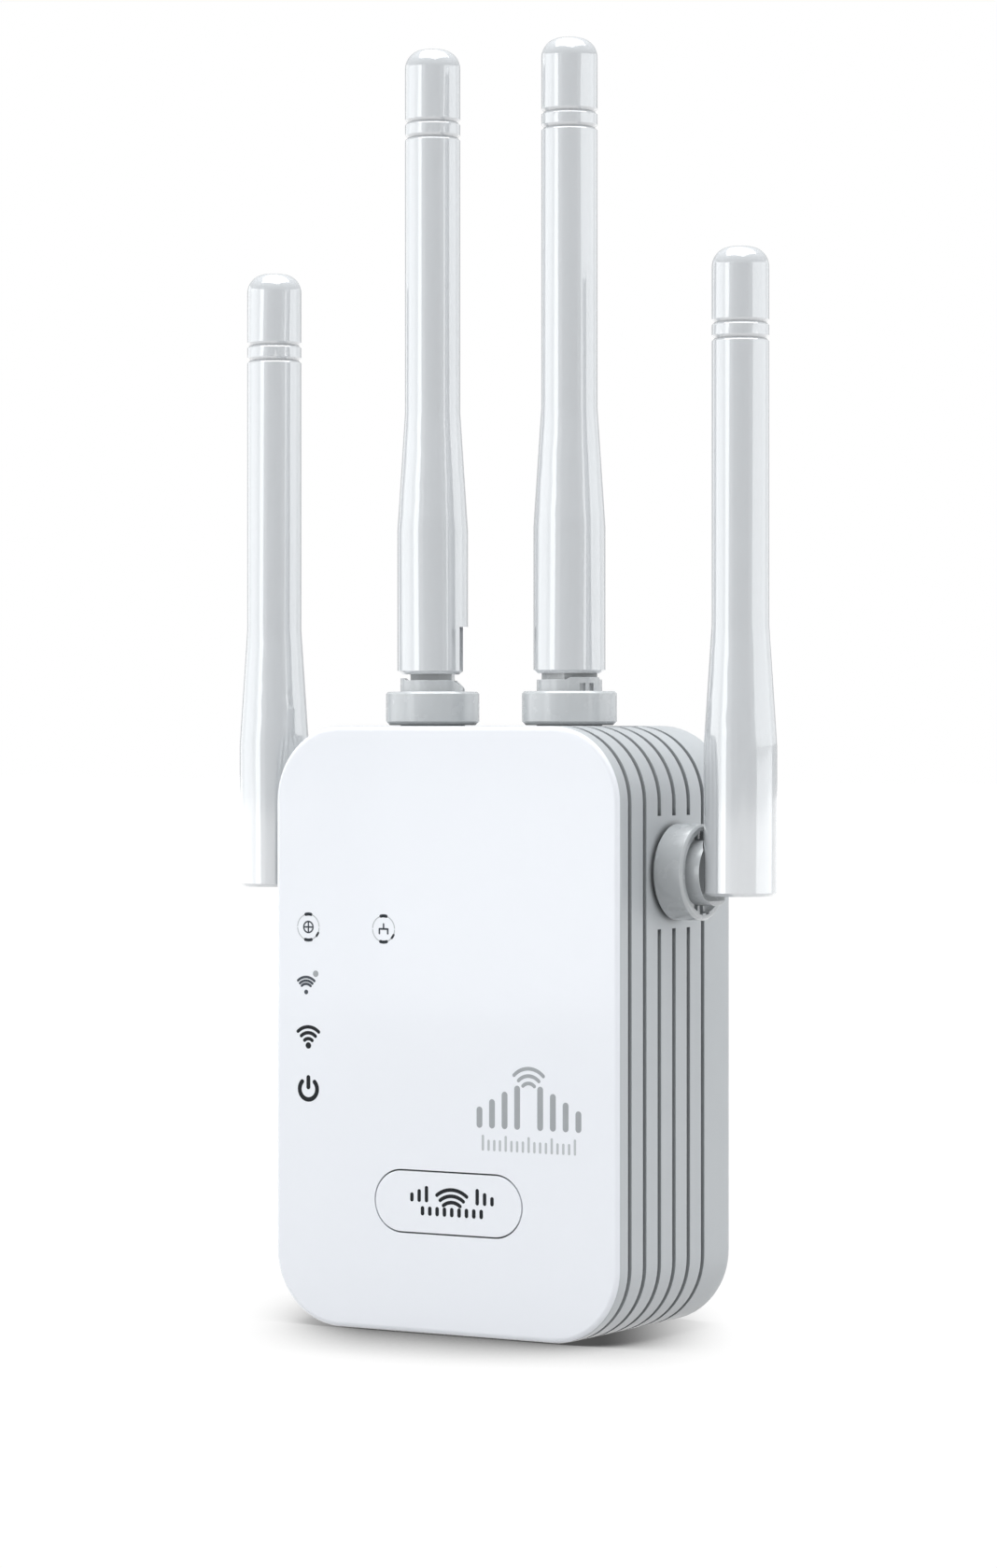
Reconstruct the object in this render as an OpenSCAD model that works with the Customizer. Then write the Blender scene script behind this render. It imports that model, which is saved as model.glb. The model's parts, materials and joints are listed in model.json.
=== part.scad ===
// Plug-in wireless range extender with four folding antennas.
// Origin: centre of the bottom face. +X right, +Y towards the wall, +Z up. Millimetres.

/* [Case] */
// Width of the case
case_w = 61; // [58:0.5:66]
// Depth of the case, from the front face to the wall face
case_d = 36; // [35:0.5:40]
// Height of the case
case_h = 92; // [90:0.5:100]
// Radius of the four corners seen from the front
corner_r = 11.5; // [10.5:0.1:13]
// Thickness of the rear housing's walls
wall_t = 2.2; // [2:0.1:2.6]
// Thickness of the front cover's plate
cover_t = 1.6; // [1.4:0.1:1.8]
// Rounding of the front cover's edge
cover_edge_r = 0.9; // [0.4:0.1:1.2]
// Rounding of the rear housing's back edge
back_edge_r = 2.4; // [1:0.1:2.6]

/* [Grooves] */
// Distance from the front face to the middle of the first groove, the parting line
groove_first = 3.3; // [3.2:0.1:3.6]
// Distance from one groove to the next
groove_pitch = 4.5; // [4.2:0.1:4.6]
// Number of grooves cut in the rear housing behind the parting line
groove_count = 5; // [3:1:5]
// Width of a groove
groove_w = 1.1; // [0.8:0.1:1.3]
// Depth of a groove
groove_depth = 1.0; // [0.5:0.1:1.2]
// Half length of the plain pad that the antenna grooves stop at
pad_half = 8.5; // [8:0.1:9.5]

/* [Button] */
// Width of the pill-shaped button
button_w = 25.8; // [22:0.2:28]
// Height of the pill-shaped button
button_h = 9.2; // [8:0.2:10]
// Height of the button's middle above the bottom face
button_z = 19.9; // [18:0.1:20.5]
// Gap round the button
button_gap = 0.25; // [0.15:0.05:0.4]

/* [Antennas] */
// Distance from the middle of the case to each top antenna
top_antenna_x = 12.3; // [12.3:0.1:13]
// Height of the side antennas' swivel axis
side_antenna_z = 70; // [69:0.5:71]
// Depth of all antennas' swivel axes behind the front face
antenna_depth = 16.7; // [16.5:0.1:17]
// Angle by which the top antennas fold towards the wall from the straight sideways line
top_fold_heading = 27; // [27:0.5:40]
// Height of the fold axis above the surface that the antenna stands on
fold_axis_h = 11.4; // [11.3:0.1:12]
// Length of the sleeve
sleeve_len = 97; // [90:1:110]
// Diameter of the sleeve's foot
foot_d = 11; // [11:0.1:11.2]
// Diameter of the sleeve above its taper
mast_d = 8.6; // [8:0.1:9.4]
// Length of the straight foot, from its end to the crease
foot_len = 22.3; // [20:0.1:24]
// Distance from the sleeve's end to the top of the taper
taper_end = 40.6; // [38:0.1:44]
// Diameter of the collar
collar_d = 14.5; // [14:0.1:15]
// Height of the collar
collar_h = 5.3; // [5:0.1:5.4]
// Diameter of the neck above the collar
neck_d = 10; // [9.8:0.1:10.4]

/* [Mains plug] */
// Distance between the two round pins
plug_pitch = 19; // [18.6:0.1:19]
// Diameter of a pin
plug_pin_d = 4; // [3.9:0.1:4.1]
// Length of a pin outside the case
plug_pin_len = 19; // [18:0.5:19.5]
// Height of the pins above the bottom face
plug_z = 50; // [46:0.5:52]

/* [Hidden] */
$fn = 64;
eps = 0.05;

// ---------- Case layout ----------
inner_r = corner_r - wall_t;
inner_half_w = case_w / 2 - wall_t;
inner_back = case_d - wall_t;
cover_end = groove_first - groove_w / 2;
housing_start = groove_first + groove_w / 2;
lip_r = corner_r - groove_depth - 0.15;
cover_wall_r = corner_r - groove_depth - 0.1;
lip_start = cover_t + 0.15;

// Screw posts for the main board
post_x = 22.5;
post_low_z = 9.5;
post_high_z = case_h - 11.5;
post_r = 2.4;
post_hole_r = 1.14;
post_hole_len = 12;

// Main board
board_front = 7;
board_t = 1.2;
board_back = board_front + board_t;
board_half_w = 26;
board_bottom = 6;
board_top = case_h - 8;

// Power board
power_front = 30.2;
power_t = 1.6;
power_back = power_front + power_t;
power_half_w = 26;
power_bottom = 22;
power_top = 76;
power_screw_x = 22;
power_screw_low = 26;
power_screw_high = 72;

// Network jacks
jack_x = 11;
jack_half_w = 7.9;
jack_front = board_back + 0.05;
jack_depth = 13.1;
jack_back = jack_front + jack_depth;
jack_bottom = 0.5;
jack_top = 18.5;
jack_mouth_half_w = 5.95;
jack_mouth_front = jack_front + 1.35;
jack_mouth_h = 8.4;
jack_mouth_len = 13.5;

// Snap tabs that hold the front cover
tab_z = [20, 50];
tab_half = 4;
tab_t = 1.15;
tab_end = 6.6;
barb_start = 5.2;
barb_out = 0.5;

// Indicator places on the front, as [x, z]
icon_x = -24.4;
lights = [[icon_x, 61.1], [icon_x, 52.6], [icon_x, 44.4], [icon_x, 36.2], [-10.7, 61.1]];

// Button stack
button_flange = 1;
button_flange_t = 0.7;
button_x = 0.8;
button_back = cover_t + 0.05 + button_flange_t;
button_boss_r = 2;
button_boss_end = 2.6;
plunger_r = 1.7;
plunger_end = 4.4;
switch_front = 3.6;
switch_half = 3;

// ---------- Antenna layout, in the antenna's own frame ----------
// The antenna's own frame has +Z along the swivel axis, out of the case, with 0 on the case's
// surface. The antenna folds towards its own +X, about an axis along its own Y.
foot_r = foot_d / 2;
mast_r = mast_d / 2;
collar_r = collar_d / 2;
neck_r = neck_d / 2;
sleeve_end = 3.4;
neck_top = fold_axis_h - sleeve_end - 0.6;
fold_trim_r = fold_axis_h - collar_h - 0.4;
fold_gap = 0.15;
tongue_r = 3.2;
tongue_half = 3.0;
slot_half = 3.2;
slot_top = 3.9;
pin_r = 1.1;
pin_in = 1.4;
pin_out = 4.3;
spigot_r = 4;
spigot_gap = 0.06;
spigot_len = 5;
clip_r = 5.6;
clip_groove_r = 3.4;
clip_top = wall_t + 0.2;
clip_t = 1.1;
cable_bore_r = 1.2;
cable_r = 0.65;

// ---------- Plug layout ----------
pin_flange_t = 1;
pin_flange_r = 3.4;
pin_core_r = 1.5;
pin_sleeve_len = 10;
pin_sleeve_inset = 0.2;
pin_nose_r = 1.5;

// ---------- Helpers ----------

// A box given by its limits: x, depth behind the front face, and height
module block(x, v, z) {
  translate([x[0], v[0] - case_d / 2, z[0]])
    cube([x[1] - x[0], v[1] - v[0], z[1] - z[0]]);
}

// A cylinder along the depth, from depth v[0] to v[1]
module rod(x, z, v, r) {
  translate([x, v[0] - case_d / 2, z])
    rotate([-90, 0, 0])
      cylinder(h = v[1] - v[0], r = r);
}

// Turns a shape drawn flat, with its +Z as depth behind the front face, onto the case
module from_front() {
  translate([0, -case_d / 2, case_h / 2])
    rotate([-90, 0, 0])
      children();
}

// Carries a 2D profile round the case's outline. The profile's X is the distance from the
// corner's centre outwards and its Y is the depth behind the front face.
module round_case() {
  run_x = case_w - 2 * corner_r;
  run_z = case_h - 2 * corner_r;
  for (i = [0:3]) {
    along = i % 2 == 0 ? run_z : run_x;
    out = i % 2 == 0 ? run_x / 2 : run_z / 2;
    rotate([0, 0, 90 * i]) {
      translate([out, 0, 0])
        rotate([90, 0, 0])
          linear_extrude(along, center = true)
            children();
      translate([out, along / 2, 0])
        rotate_extrude(angle = 90)
          children();
    }
  }
}

// The flat middle of the case's outline, inside the corner centres
module case_middle(v) {
  translate([-(case_w / 2 - corner_r), -(case_h / 2 - corner_r), v[0]])
    cube([case_w - 2 * corner_r, case_h - 2 * corner_r, v[1] - v[0]]);
}

// A 2D rectangle by its limits
module field(u, v) {
  translate([u[0], v[0]])
    square([u[1] - u[0], v[1] - v[0]]);
}

// What a round edge of radius r leaves over in a square corner at the origin
module edge_waste(r) {
  difference() {
    translate([-r, -r])
      square(r + 1);
    translate([-r, -r])
      circle(r);
    translate([-2 * r, -2 * r])
      square([2 * r, r]);
    translate([-2 * r, -2 * r])
      square([r, 3 * r]);
  }
}

// A pill-shaped bar through the front, with its middle at the button
module pill(w, h, v) {
  r = h / 2;
  block([button_x - w / 2 + r, button_x + w / 2 - r], v, [button_z - r, button_z + r]);
  for (side = [-1, 1])
    rod(button_x + side * (w / 2 - r), button_z, v, r);
}

// Puts a shape drawn in an antenna's own frame at one of the four places
module at_antenna(place) {
  y = antenna_depth - case_d / 2;
  if (place == "top_left")
    translate([-top_antenna_x, y, case_h])
      rotate([0, 0, top_fold_heading])
        children();
  if (place == "top_right")
    translate([top_antenna_x, y, case_h])
      rotate([0, 0, 180 - top_fold_heading])
        children();
  if (place == "side_left")
    translate([-case_w / 2, y, side_antenna_z])
      rotate([0, -90, 0])
        children();
  if (place == "side_right")
    translate([case_w / 2, y, side_antenna_z])
      rotate([180, -90, 0])
        children();
}

// Puts a shape drawn about the fold axis, mast along +Z, at one of the four places
module at_fold(place) {
  tilt = place == "side_left" || place == "side_right" ? 90 : 0;
  at_antenna(place)
    translate([0, 0, fold_axis_h])
      rotate([0, tilt, 0])
        children();
}

// ---------- Case ----------

module cover_profile() {
  difference() {
    union() {
      field([0, corner_r], [0, cover_t]);
      field([cover_wall_r, corner_r], [0, cover_end]);
    }
    translate([corner_r, 0])
      mirror([0, 1])
        edge_waste(cover_edge_r);
  }
}

module snap_tab(side, z) {
  near = inner_half_w - 0.15;
  inner = near - tab_t;
  x = side > 0 ? [inner, near] : [-near, -inner];
  barb = side > 0 ? [inner, near + barb_out] : [-near - barb_out, -inner];
  block(x, [cover_t - eps, tab_end], [z - tab_half, z + tab_half]);
  block(barb, [barb_start, tab_end], [z - tab_half, z + tab_half]);
}

module front_cover() {
  color([0.95, 0.96, 0.98])
    difference() {
      union() {
        from_front() {
          round_case() cover_profile();
          case_middle([0, cover_t]);
        }
        for (side = [-1, 1], z = tab_z)
          snap_tab(side, z);
      }
      pill(button_w + 2 * button_gap, button_h + 2 * button_gap, [-1, cover_t + 1]);
      for (place = lights)
        rod(place[0], place[1], [0.7, cover_t + 1], 1.75);
    }
}

module housing_profile() {
  difference() {
    union() {
      field([inner_r, corner_r], [housing_start, case_d]);
      field([inner_r, lip_r], [lip_start, housing_start + 1]);
      field([0, corner_r], [inner_back, case_d]);
    }
    for (i = [1:groove_count])
      translate([corner_r - groove_depth, groove_first + i * groove_pitch - groove_w / 2])
        square([groove_depth + 1, groove_w]);
    translate([corner_r, case_d])
      edge_waste(back_edge_r);
  }
}

// Plain pads that stop the middle grooves at each antenna
module groove_pads() {
  v = [antenna_depth - 1.4 * groove_pitch, antenna_depth + 1.4 * groove_pitch];
  deep = groove_depth + 0.2;
  for (side = [-1, 1]) {
    mid = side * top_antenna_x;
    edge = side * case_w / 2;
    block([mid - pad_half, mid + pad_half], v, [case_h - deep, case_h]);
    block([min(edge, edge - side * deep), max(edge, edge - side * deep)], v,
          [side_antenna_z - pad_half, side_antenna_z + pad_half]);
  }
}

module housing_posts() {
  for (side = [-1, 1]) {
    for (z = [post_low_z, post_high_z])
      rod(side * post_x, z, [board_back, inner_back + eps], post_r);
    for (z = [power_screw_low, power_screw_high])
      rod(side * power_screw_x, z, [power_back, inner_back + eps], 2.5);
  }
}

module housing_post_holes() {
  for (side = [-1, 1]) {
    for (z = [post_low_z, post_high_z])
      rod(side * post_x, z, [board_back - 1, board_back + post_hole_len], post_hole_r);
    for (z = [power_screw_low, power_screw_high])
      rod(side * power_screw_x, z, [power_back - 1, case_d - 1], 1.04);
  }
}

module jack_openings() {
  for (side = [-1, 1])
    block([side * jack_x - jack_half_w - 0.2, side * jack_x + jack_half_w + 0.2],
          [jack_front - 0.2, jack_back + 0.2], [-1, wall_t + 1]);
}

// Pockets inside the walls that the snap tabs' barbs click into
module barb_pockets() {
  for (side = [-1, 1], z = tab_z) {
    near = inner_half_w - 0.1;
    far = inner_half_w + barb_out + 0.05;
    block([min(side * near, side * far), max(side * near, side * far)],
          [barb_start - 0.1, tab_end + 0.2], [z - tab_half - 0.2, z + tab_half + 0.2]);
  }
}

module swivel_bores() {
  for (place = ["top_left", "top_right", "side_left", "side_right"])
    at_antenna(place)
      translate([0, 0, -wall_t - 1])
        cylinder(h = wall_t + 2, r = spigot_r + spigot_gap);
}

label_w = 44;
label_h = 24;
label_z = 22;

module rear_housing() {
  color([0.78, 0.79, 0.8])
    difference() {
      union() {
        from_front() {
          round_case() housing_profile();
          case_middle([inner_back, case_d]);
        }
        groove_pads();
        housing_posts();
      }
      housing_post_holes();
      jack_openings();
      barb_pockets();
      swivel_bores();
      for (side = [-1, 1]) {
        rod(side * plug_pitch / 2, plug_z, [inner_back - 1, case_d + 1], plug_pin_d / 2);
        rod(side * plug_pitch / 2, plug_z, [case_d - 0.6, case_d + 1], plug_pin_d / 2 + 0.5);
      }
      block([-label_w / 2, label_w / 2], [case_d - 0.3, case_d + 1],
            [label_z - label_h / 2, label_z + label_h / 2]);
    }
}

module rating_label() {
  color([0.9, 0.9, 0.88])
    block([-label_w / 2 + 0.3, label_w / 2 - 0.3], [case_d - 0.3, case_d - 0.12],
          [label_z - label_h / 2 + 0.3, label_z + label_h / 2 - 0.3]);
}

// ---------- Button, switch and lights ----------

module wps_button() {
  color([0.95, 0.96, 0.98])
    union() {
      pill(button_w, button_h, [0, button_back]);
      pill(button_w + 2 * button_flange, button_h + 2 * button_flange,
           [cover_t + 0.05, button_back]);
      rod(button_x, button_z, [button_back - eps, button_boss_end], button_boss_r);
    }
}

module switch_plunger() {
  color([0.15, 0.15, 0.16])
    rod(button_x, button_z, [button_boss_end, plunger_end], plunger_r);
}

module push_switch() {
  color([0.2, 0.2, 0.21])
    difference() {
      block([button_x - switch_half, button_x + switch_half], [switch_front, board_front],
            [button_z - switch_half, button_z + switch_half]);
      rod(button_x, button_z, [switch_front - 1, plunger_end + 0.8], plunger_r + 0.06);
    }
}

module light_guide() {
  bar = [3.2, 4.4];
  half = 1.5;
  color([0.85, 0.9, 0.95, 0.6])
    union() {
      for (place = lights)
        rod(place[0], place[1], [0.8, 6.1], 1.6);
      block([icon_x - half, icon_x + half], bar, [lights[3][1], lights[0][1]]);
      block([icon_x, lights[4][0]], bar, [lights[0][1] - half, lights[0][1] + half]);
    }
}

module status_lights() {
  color([0.95, 0.93, 0.7])
    for (place = lights)
      block([place[0] - 1, place[0] + 1], [6.3, board_front], [place[1] - 0.6, place[1] + 0.6]);
}

// ---------- Main board ----------

module main_board() {
  color([0.05, 0.3, 0.15])
    difference() {
      block([-board_half_w, board_half_w], [board_front, board_back], [board_bottom, board_top]);
      for (side = [-1, 1], z = [post_low_z, post_high_z])
        rod(side * post_x, z, [board_front - 1, board_back + 1], 1.3);
    }
}

// A pan-head screw with a cross recess, driven from the front at depth v
module screw(x, z, v, head_r, head_t, shank_r, shank_len) {
  difference() {
    union() {
      rod(x, z, [v - head_t, v], head_r);
      rod(x, z, [v - eps, v + shank_len], shank_r);
    }
    for (turn = [0, 90])
      translate([x, v - head_t - case_d / 2, z])
        rotate([0, turn, 0])
          cube([head_r * 1.2, head_t, head_r * 0.28], center = true);
  }
}

module main_board_screws() {
  color([0.7, 0.7, 0.72])
    for (side = [-1, 1], z = [post_low_z, post_high_z])
      screw(side * post_x, z, board_front, 2.2, 1.4, 1.1, 9);
}

can_x = [-19, 17];
can_z = [29, 56];
can_front = 4.9;
chip_t = 0.9;

module shielding_can() {
  skin = 0.25;
  color([0.75, 0.76, 0.77])
    difference() {
      block(can_x, [can_front, board_front], can_z);
      block([can_x[0] + skin, can_x[1] - skin], [can_front + skin, board_front + 1],
            [can_z[0] + skin, can_z[1] - skin]);
    }
}

module processor() {
  color([0.12, 0.12, 0.13])
    block([-8, 4], [board_front - chip_t, board_front], [32, 44]);
}

module thermal_pad() {
  color([0.6, 0.65, 0.75])
    block([-7.5, 3.5], [can_front + 0.25, board_front - chip_t], [32.5, 43.5]);
}

module radio_chips() {
  color([0.14, 0.14, 0.15])
    for (x = [-14, 4])
      block([x, x + 7], [board_front - chip_t, board_front], [47, 54]);
}

module memory_chip() {
  color([0.14, 0.14, 0.15])
    block([7, 12], [board_front - 1.2, board_front], [33, 41]);
}

module crystal() {
  color([0.8, 0.8, 0.78])
    block([-15.5, -12], [board_front - 0.8, board_front], [36, 38.5]);
}

module network_transformer() {
  color([0.1, 0.1, 0.11])
    block([-8.5, 8.5], [board_back, board_back + 5], [20.5, 30]);
}

module board_link_header() {
  color([0.85, 0.85, 0.8])
    union() {
      block([-24.2, -19.2], [board_back, power_front], [46, 48.4]);
      block([-24.8, -18.6], [board_back, board_back + 2.5], [45.4, 49]);
      block([-24.8, -18.6], [power_front - 2.5, power_front], [45.4, 49]);
    }
}

// ---------- Network jacks ----------

module jack(x) {
  mouth_back = jack_mouth_front + jack_mouth_h;
  difference() {
    block([x - jack_half_w, x + jack_half_w], [jack_front, jack_back], [jack_bottom, jack_top]);
    block([x - jack_mouth_half_w, x + jack_mouth_half_w], [jack_mouth_front, mouth_back],
          [0, jack_bottom + jack_mouth_len]);
    block([x - 3.1, x + 3.1], [mouth_back - 1, mouth_back + 1.6],
          [0, jack_bottom + jack_mouth_len - 1]);
    block([x - 1.7, x + 1.7], [mouth_back + 1, mouth_back + 2.5],
          [0, jack_bottom + jack_mouth_len - 3]);
  }
}

// Eight spring wires in the mouth of a jack
module jack_contacts(x) {
  pitch = 1.02;
  wire = 0.4;
  v = jack_mouth_front;
  top = jack_bottom + jack_mouth_len - 0.2;
  for (i = [-3.5:1:3.5])
    translate([x + i * pitch - wire / 2, -case_d / 2, 0])
      rotate([90, 0, 90])
        linear_extrude(wire)
          polygon([[v + 0.1, top], [v + 0.1, 3], [v + 0.5, 3],
                   [v + 3.2, top - 1.4], [v + 2.8, top - 1], [v + 0.5, 4], [v + 0.5, top]]);
}

module wan_jack() {
  color([0.16, 0.16, 0.17]) jack(-jack_x);
}

module lan_jack() {
  color([0.16, 0.16, 0.17]) jack(jack_x);
}

module wan_jack_contacts() {
  color([0.85, 0.68, 0.3]) jack_contacts(-jack_x);
}

module lan_jack_contacts() {
  color([0.85, 0.68, 0.3]) jack_contacts(jack_x);
}

// ---------- Coax cables between the swivels and the main board ----------

// A cable that runs along -Z, bends by a quarter turn towards -Y and runs on
module bent_cable(first, bend, second) {
  translate([0, 0, -first])
    cylinder(h = first, r = cable_r);
  translate([0, -bend, -first])
    rotate([0, 90, 0])
      rotate_extrude(angle = 90)
        translate([bend, 0])
          circle(cable_r);
  translate([0, -bend, -first - bend])
    rotate([90, 0, 0])
      cylinder(h = second, r = cable_r);
}

cable_bend = 4;
cable_lead = 2.5;
cable_run = antenna_depth - cable_bend - board_back;

module top_coax_cables() {
  color([0.12, 0.12, 0.13])
    for (side = [-1, 1])
      translate([side * top_antenna_x, antenna_depth - case_d / 2, case_h - cable_lead])
        bent_cable(8, cable_bend, cable_run);
}

module side_coax_cables() {
  color([0.12, 0.12, 0.13])
    for (side = [-1, 1])
      translate([side * (case_w / 2 - cable_lead), antenna_depth - case_d / 2, side_antenna_z])
        rotate([0, side * 90, 0])
          bent_cable(8, cable_bend, cable_run);
}

// ---------- Power supply ----------

module power_board() {
  color([0.75, 0.62, 0.35])
    difference() {
      block([-power_half_w, power_half_w], [power_front, power_back], [power_bottom, power_top]);
      for (side = [-1, 1], z = [power_screw_low, power_screw_high])
        rod(side * power_screw_x, z, [power_front - 1, power_back + 1], 1.2);
    }
}

module power_board_screws() {
  color([0.7, 0.7, 0.72])
    for (side = [-1, 1], z = [power_screw_low, power_screw_high])
      screw(side * power_screw_x, z, power_front, 2, 1.3, 1, 4.4);
}

// The transformer stands on the power board; its coil is wound about the depth axis
coil_x = 7;
coil_z = 38;
coil_back = power_front - 1.5;
coil_front = coil_back - 13;
core_half_w = 8;
core_half_h = 3.5;
core_bar = 2.5;
limb_half = 2.2;
spool_r = 3.4;

module transformer_core() {
  z = [coil_z - core_half_h, coil_z + core_half_h];
  color([0.2, 0.2, 0.21])
    union() {
      for (side = [-1, 1])
        block([coil_x + side * (core_half_w - 1) - 1, coil_x + side * (core_half_w - 1) + 1],
              [coil_front, coil_back], z);
      block([coil_x - core_half_w, coil_x + core_half_w], [coil_front, coil_front + core_bar], z);
      block([coil_x - core_half_w, coil_x + core_half_w], [coil_back - core_bar, coil_back], z);
      block([coil_x - limb_half, coil_x + limb_half], [coil_front, coil_back],
            [coil_z - limb_half, coil_z + limb_half]);
    }
}

module transformer_bobbin() {
  v = [coil_front + core_bar + 0.1, coil_back - core_bar - 0.1];
  gap = limb_half + 0.1;
  color([0.1, 0.1, 0.1])
    union() {
      difference() {
        union() {
          rod(coil_x, coil_z, v, spool_r + 0.5);
          for (end = [v[0], v[1] - 0.7])
            rod(coil_x, coil_z, [end, end + 0.7], 5.8);
        }
        block([coil_x - gap, coil_x + gap], [v[0] - 1, v[1] + 1], [coil_z - gap, coil_z + gap]);
      }
      for (side = [-1, 1])
        block([coil_x - 7, coil_x + 7], [v[1] - 0.7, power_front],
              [coil_z + side * 5.2 - 1.3, coil_z + side * 5.2 + 1.3]);
    }
}

module transformer_winding() {
  v = [coil_front + core_bar + 0.9, coil_back - core_bar - 0.9];
  color([0.8, 0.45, 0.2])
    difference() {
      rod(coil_x, coil_z, v, 5.5);
      rod(coil_x, coil_z, [v[0] - 1, v[1] + 1], spool_r + 0.55);
    }
}

// A round capacitor standing on the power board, with a pressed groove near its foot
module capacitor(x, z, r, len) {
  difference() {
    rod(x, z, [power_front - len, power_front], r);
    translate([x, power_front - 1.8 - case_d / 2, z])
      rotate([-90, 0, 0])
        rotate_extrude()
          translate([r, 0])
            square([0.6, 0.8], center = true);
  }
}

module input_capacitors() {
  color([0.1, 0.12, 0.2])
    for (z = [31, 41])
      capacitor(-12, z, 4, 13);
}

module output_capacitors() {
  color([0.1, 0.3, 0.25])
    for (x = [9, 17])
      capacitor(x, 53, 3.15, 11);
}

module bridge_rectifier() {
  color([0.12, 0.12, 0.13])
    block([-15.5, -9], [power_front - 2.5, power_front], [52, 57]);
}

module power_controller() {
  color([0.12, 0.12, 0.13])
    block([-5, 0], [power_front - 1.6, power_front], [55, 61]);
}

module fuse_resistor() {
  color([0.35, 0.55, 0.4])
    translate([-16, power_front - 2.2 - case_d / 2, 68])
      rotate([0, 90, 0])
        union() {
          cylinder(h = 9, r = 1.8);
          translate([0, 0, -1.5])
            cylinder(h = 12, r = 0.35);
        }
}

module safety_capacitor() {
  color([0.2, 0.35, 0.7])
    rod(2, 68, [power_front - 4.5, power_front], 4);
}

module output_diode() {
  color([0.12, 0.12, 0.13])
    block([17.5, 22], [power_front - 2.2, power_front], [36, 38.8]);
}

// ---------- Mains plug ----------

module plug_pins() {
  tip = case_d + plug_pin_len;
  sleeve_stop = case_d + pin_sleeve_len;
  r = plug_pin_d / 2;
  color([0.8, 0.8, 0.78])
    for (side = [-1, 1])
      translate([side * plug_pitch / 2, -case_d / 2, plug_z])
        rotate([-90, 0, 0])
          rotate_extrude() {
            field([0, pin_flange_r], [inner_back - pin_flange_t, inner_back]);
            field([0, r], [inner_back - eps, case_d - 0.6]);
            field([0, pin_core_r], [case_d - 0.7, sleeve_stop + eps]);
            field([0, r], [sleeve_stop, tip - pin_nose_r]);
            field([0, r - pin_nose_r], [tip - pin_nose_r - eps, tip]);
            translate([r - pin_nose_r, tip - pin_nose_r])
              intersection() {
                circle(pin_nose_r);
                square(pin_nose_r);
              }
          }
}

module plug_pin_sleeves() {
  flare = plug_pin_d / 2 + 0.45;
  color([0.15, 0.15, 0.16])
    for (side = [-1, 1])
      translate([side * plug_pitch / 2, -case_d / 2, plug_z])
        rotate([-90, 0, 0])
          rotate_extrude() {
            field([pin_core_r, plug_pin_d / 2 - pin_sleeve_inset],
                  [case_d - 0.6, case_d + pin_sleeve_len]);
            field([pin_core_r, flare], [case_d - 0.6, case_d + 0.4]);
          }
}

// Leaf springs between the pins' flanges and the back of the power board
module plug_contacts() {
  color([0.8, 0.6, 0.25])
    for (side = [-1, 1]) {
      x = side * plug_pitch / 2;
      block([x - 3, x + 3], [power_back, power_back + 0.4], [plug_z - 3, plug_z + 9]);
      block([x - 2, x + 2], [power_back + 0.4, inner_back - pin_flange_t],
            [plug_z - 2, plug_z + 2]);
    }
}

// ---------- Antennas ----------

module collar_shape() {
  chamfer = 0.35;
  foot_chamfer = 0.6;
  rotate_extrude()
    polygon([[0, 0.1], [collar_r - foot_chamfer, 0.1], [collar_r, 0.1 + foot_chamfer],
             [collar_r, collar_h - chamfer], [collar_r - chamfer, collar_h], [0, collar_h]]);
}

// Space that the turning sleeve sweeps over the neck
module sleeve_sweep() {
  corner = sqrt(foot_r * foot_r + sleeve_end * sleeve_end) + fold_gap;
  translate([0, 0, fold_axis_h]) {
    intersection() {
      sphere(corner);
      rotate([90, 0, 0])
        cylinder(h = 20, r = fold_trim_r + fold_gap, center = true);
    }
    rotate([0, 90, 0])
      cylinder(h = 12, r = foot_r + fold_gap);
  }
}

// Collar, neck and tongue in one moulding, with the spigot that turns in the case wall
module knuckle() {
  rim_w = 1.1;
  trough_r = collar_r - rim_w;
  trough_depth = 1.0;
  color([0.78, 0.79, 0.8])
    difference() {
      union() {
        difference() {
          union() {
            collar_shape();
            cylinder(h = neck_top, r = neck_r);
          }
          sleeve_sweep();
        }
        translate([-tongue_r, -tongue_half, collar_h - 1])
          cube([2 * tongue_r, 2 * tongue_half, fold_axis_h - collar_h + 1]);
        translate([0, 0, fold_axis_h])
          rotate([90, 0, 0])
            cylinder(h = 2 * tongue_half, r = tongue_r, center = true);
        translate([0, 0, -spigot_len])
          cylinder(h = spigot_len + 1, r = spigot_r);
      }
      // Trough between the collar's rim and the neck
      translate([0, 0, collar_h - trough_depth])
        difference() {
          cylinder(h = trough_depth + 1, r = trough_r);
          translate([0, 0, -1])
            cylinder(h = trough_depth + 3, r = neck_r);
        }
      // Stop notches in the rim
      for (half = [0, 180], side = [-1, 1])
        rotate([0, 0, half + side * 9])
          translate([neck_r - 0.5, -0.5, collar_h - 1.8])
            cube([1.9, 1, 3]);
      // Groove for the retaining clip
      translate([0, 0, -clip_top - clip_t - 0.05])
        difference() {
          cylinder(h = clip_t + 0.1, r = spigot_r + 1);
          translate([0, 0, -1])
            cylinder(h = clip_t + 3, r = clip_groove_r);
        }
      // Cable way and the hinge pins' holes
      translate([0, 0, -spigot_len - 1])
        cylinder(h = 40, r = cable_bore_r);
      translate([0, 0, fold_axis_h])
        rotate([90, 0, 0])
          cylinder(h = 20, r = pin_r + 0.01, center = true);
    }
}

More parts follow.
